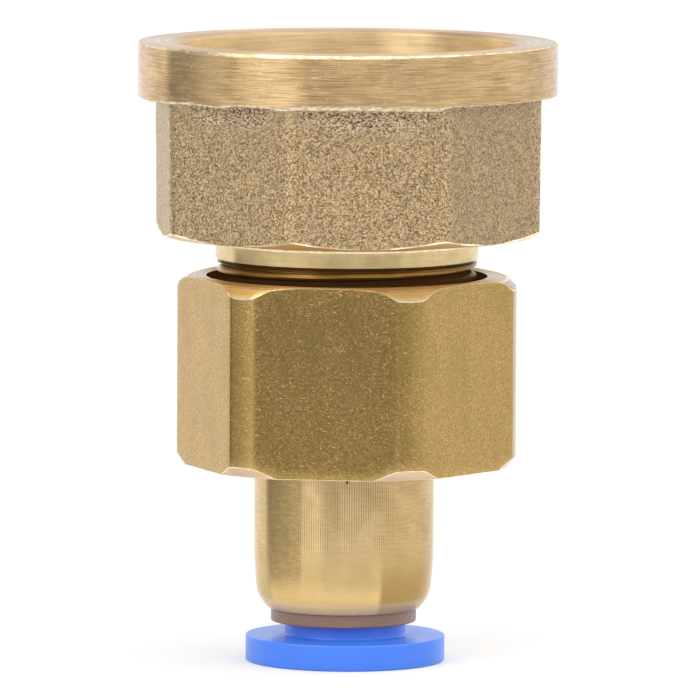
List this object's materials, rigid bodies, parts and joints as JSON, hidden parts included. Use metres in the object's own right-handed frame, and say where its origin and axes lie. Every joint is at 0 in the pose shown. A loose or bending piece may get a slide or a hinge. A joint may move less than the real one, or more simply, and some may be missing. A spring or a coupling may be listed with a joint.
{
  "type": "flow control valve",
  "caption": "Straight brass flow control valve with a push-in tube port, a hexagon body, a screwed-in octagon socket adapter and a spring-loaded check poppet with a metering jet.",
  "frame": {"origin": "centre of the release sleeve's flat end, which the part stands on", "axes": "+Z along the flow axis from the tube port to the socket; a flat of the hexagon faces -Y; +X is to the right seen from that flat"},
  "size_m": [0.0322, 0.0322, 0.0478],
  "materials": {
    "turned_brass": "machined, bright",
    "forged_brass": "blasted forging with a turned collar",
    "blue_plastic": "satin moulded",
    "brown_plastic": "matt moulded",
    "white_plastic": "matt moulded",
    "grey_plastic": "matt moulded",
    "seal_rubber": "moulded rubber",
    "spring_steel": "bright spring steel",
    "stainless_steel": "etched stainless plate"
  },
  "bodies": {
    "fitting": {"hex_body": "turned_brass", "face_gasket": "seal_rubber", "guide_ring": "brown_plastic", "grab_ring": "spring_steel", "backup_ring": "white_plastic", "tube_seal": "seal_rubber"},
    "sleeve": {"release_sleeve": "blue_plastic"},
    "cartridge": {"valve_housing": "white_plastic", "housing_seal": "seal_rubber", "spring_guide": "white_plastic", "strainer_screen": "stainless_steel", "poppet_spring": "spring_steel"},
    "poppet": {"poppet": "grey_plastic", "poppet_seal": "seal_rubber", "metering_jet": "turned_brass"},
    "adapter": {"socket_adapter": "forged_brass", "port_washer": "seal_rubber", "retaining_ring": "spring_steel"}
  },
  "joints": [
    {"name": "sleeve_push", "type": "slide", "parent": "fitting", "child": "sleeve", "axis": [0, 0, 1], "range_m": [0, 0.00105], "stiffness_N_per_m": 100, "springref_m": -0.03, "deforming": ["grab_ring"]},
    {"name": "adapter_lift", "type": "slide", "parent": "fitting", "child": "cartridge", "axis": [0, 0, 1], "range_m": [0, 0.00801]},
    {"name": "adapter_turn", "type": "hinge", "parent": "cartridge", "child": "adapter", "pos_m": [0, 0, 0.03115], "axis": [0, 0, 1], "range_deg": [0, 2880]},
    {"name": "poppet_lift", "type": "slide", "parent": "cartridge", "child": "poppet", "axis": [0, 0, 1], "range_m": [0, 0.0015], "stiffness_N_per_m": 400, "springref_m": -0.001, "deforming": ["poppet_spring"]}
  ],
  "couplings": [
    {"joint": "adapter_lift", "follows": "adapter_turn", "m_per_rad": 0.00015915}
  ]
}
